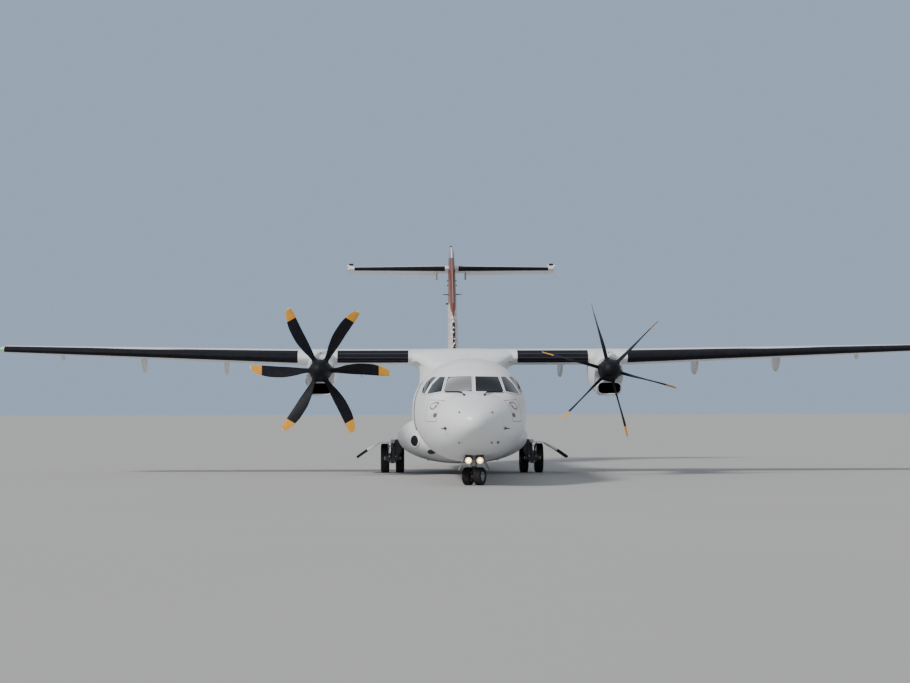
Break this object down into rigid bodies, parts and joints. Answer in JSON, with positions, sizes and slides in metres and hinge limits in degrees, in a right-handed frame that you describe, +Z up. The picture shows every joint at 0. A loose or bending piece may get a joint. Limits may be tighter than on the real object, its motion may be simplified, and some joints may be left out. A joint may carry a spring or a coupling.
{
  "type": "turboprop airliner",
  "caption": "High-wing T-tail airliner standing on twin-wheel landing gear, with twin turboprop engines, swept propeller blades, flaps, rudder, elevators and opening doors.",
  "frame": {"origin": "on the ground, below the middle of the aircraft's box", "axes": "+Z up, the nose points to -Y and the tail to +Y, +X is the aircraft's left wing"},
  "size_m": [27.05, 27.166, 7.65],
  "materials": {
    "white_paint": "gloss",
    "white_composite": "gloss",
    "red_composite": "gloss",
    "pane_glass": "polished",
    "blade_black": "satin",
    "gear_grey": "satin",
    "wheel_metal": "satin",
    "tyre_rubber": "matte"
  },
  "bodies": {
    "airframe": {"radome": "white_composite", "nose_section": "white_paint", "forward_fuselage": "white_paint", "centre_fuselage": "white_paint", "rear_fuselage": "white_paint", "windscreen_left": "pane_glass", "windscreen_right": "pane_glass", "side_pane_left": "pane_glass", "side_pane_right": "pane_glass", "rear_pane_left": "pane_glass", "rear_pane_right": "pane_glass", "service_door_right": "white_paint", "emergency_exit_left": "white_paint", "emergency_exit_right": "white_paint", "wing_centre": "white_paint", "outer_wing_left": "white_composite", "outer_wing_right": "white_composite", "wing_fairing": "white_composite", "nacelle_left": "white_paint", "nacelle_right": "white_paint", "fin": "red_composite", "stabiliser": "white_composite", "belly_fairing": "white_composite", "main_leg_left": "gear_grey", "main_leg_right": "gear_grey", "main_door_left": "white_paint", "main_door_right": "white_paint", "nose_leg": "gear_grey", "nose_door_left": "white_paint", "nose_door_right": "white_paint"},
    "cargo_door": {"cargo_door": "white_paint"},
    "airstair": {"airstair_door": "white_paint"},
    "propeller_left": {"propeller_left": "blade_black"},
    "propeller_right": {"propeller_right": "blade_black"},
    "flap_inner_left": {"flap_inner_left": "white_composite"},
    "flap_inner_right": {"flap_inner_right": "white_composite"},
    "flap_outer_left": {"flap_outer_left": "white_composite"},
    "flap_outer_right": {"flap_outer_right": "white_composite"},
    "aileron_left": {"aileron_left": "white_composite"},
    "aileron_right": {"aileron_right": "white_composite"},
    "rudder": {"rudder": "red_composite"},
    "elevator_left": {"elevator_left": "white_composite"},
    "elevator_right": {"elevator_right": "white_composite"},
    "main_wheels_left": {"main_left_hub": "wheel_metal", "main_left_tyre_left": "tyre_rubber", "main_left_tyre_right": "tyre_rubber"},
    "main_wheels_right": {"main_right_hub": "wheel_metal", "main_right_tyre_left": "tyre_rubber", "main_right_tyre_right": "tyre_rubber"},
    "nose_steered": {"nose_fork": "gear_grey"},
    "nose_wheels": {"nose_hub": "wheel_metal", "nose_tyre_left": "tyre_rubber", "nose_tyre_right": "tyre_rubber"}
  },
  "joints": [
    {"name": "propeller_left_spin", "type": "hinge", "parent": "airframe", "child": "propeller_left", "pos_m": [4.05, -4.633, 2.96], "axis": [0, 1, 0], "continuous": true},
    {"name": "propeller_right_spin", "type": "hinge", "parent": "airframe", "child": "propeller_right", "pos_m": [-4.05, -4.633, 2.96], "axis": [0, 1, 0], "continuous": true},
    {"name": "main_wheels_left_spin", "type": "hinge", "parent": "airframe", "child": "main_wheels_left", "pos_m": [2.05, -1.083, 0.432], "axis": [1, 0, 0], "continuous": true},
    {"name": "main_wheels_right_spin", "type": "hinge", "parent": "airframe", "child": "main_wheels_right", "pos_m": [-2.05, -1.083, 0.432], "axis": [1, 0, 0], "continuous": true},
    {"name": "nose_steer", "type": "hinge", "parent": "airframe", "child": "nose_steered", "pos_m": [0, -11.853, 0.4], "axis": [0, 0, 1], "range_deg": [-34, 86]},
    {"name": "nose_wheels_spin", "type": "hinge", "parent": "nose_steered", "child": "nose_wheels", "pos_m": [0, -11.853, 0.222], "axis": [0.8988, -0.4384, 0], "continuous": true},
    {"name": "rudder_turn", "type": "hinge", "parent": "airframe", "child": "rudder", "pos_m": [0, 11.977, 3.24], "axis": [0, 0.1979, 0.9802], "range_deg": [-27, 27]},
    {"name": "elevator_left_turn", "type": "hinge", "parent": "airframe", "child": "elevator_left", "pos_m": [0.47, 12.76516, 6.84259], "axis": [0.9995, 0.0313, 0.0055], "range_deg": [-5, 31]},
    {"name": "elevator_right_turn", "type": "hinge", "parent": "airframe", "child": "elevator_right", "pos_m": [-0.47, 12.76516, 6.84259], "axis": [0.9995, -0.0313, -0.0055], "range_deg": [-5, 31]},
    {"name": "aileron_left_turn", "type": "hinge", "parent": "airframe", "child": "aileron_left", "pos_m": [9.59, -0.663, 3.52849], "axis": [0.999, -0.0323, 0.0298], "range_deg": [-14, 14]},
    {"name": "aileron_right_turn", "type": "hinge", "parent": "airframe", "child": "aileron_right", "pos_m": [-9.59, -0.663, 3.52849], "axis": [0.999, 0.0323, -0.0298], "range_deg": [-14, 14]},
    {"name": "flap_inner_left_turn", "type": "hinge", "parent": "airframe", "child": "flap_inner_left", "pos_m": [2.95, -0.5883, 2.882], "axis": [-1, 0, 0], "range_deg": [0, 35]},
    {"name": "flap_inner_right_turn", "type": "hinge", "parent": "airframe", "child": "flap_inner_right", "pos_m": [-2.95, -0.5883, 2.882], "axis": [-1, 0, 0], "range_deg": [0, 35]},
    {"name": "flap_outer_left_turn", "type": "hinge", "parent": "airframe", "child": "flap_outer_left", "pos_m": [6.97, -0.64818, 2.94707], "axis": [-0.9991, 0.0289, -0.0314], "range_deg": [0, 35]},
    {"name": "flap_outer_right_turn", "type": "hinge", "parent": "airframe", "child": "flap_outer_right", "pos_m": [-6.97, -0.64818, 2.94707], "axis": [-0.9991, -0.0289, 0.0314], "range_deg": [0, 35]},
    {"name": "cargo_door_swing", "type": "hinge", "parent": "airframe", "child": "cargo_door", "pos_m": [1.154, -9.0455, 2.688], "axis": [0, -1, 0], "range_deg": [0, 100]},
    {"name": "airstair_swing", "type": "hinge", "parent": "airframe", "child": "airstair", "pos_m": [1.206, 6.092, 1.152], "axis": [0, 1, 0], "range_deg": [0, 125]}
  ],
  "couplings": [
    {"joint": "aileron_right_turn", "follows": "aileron_left_turn", "ratio": -1},
    {"joint": "elevator_right_turn", "follows": "elevator_left_turn", "ratio": 1}
  ]
}
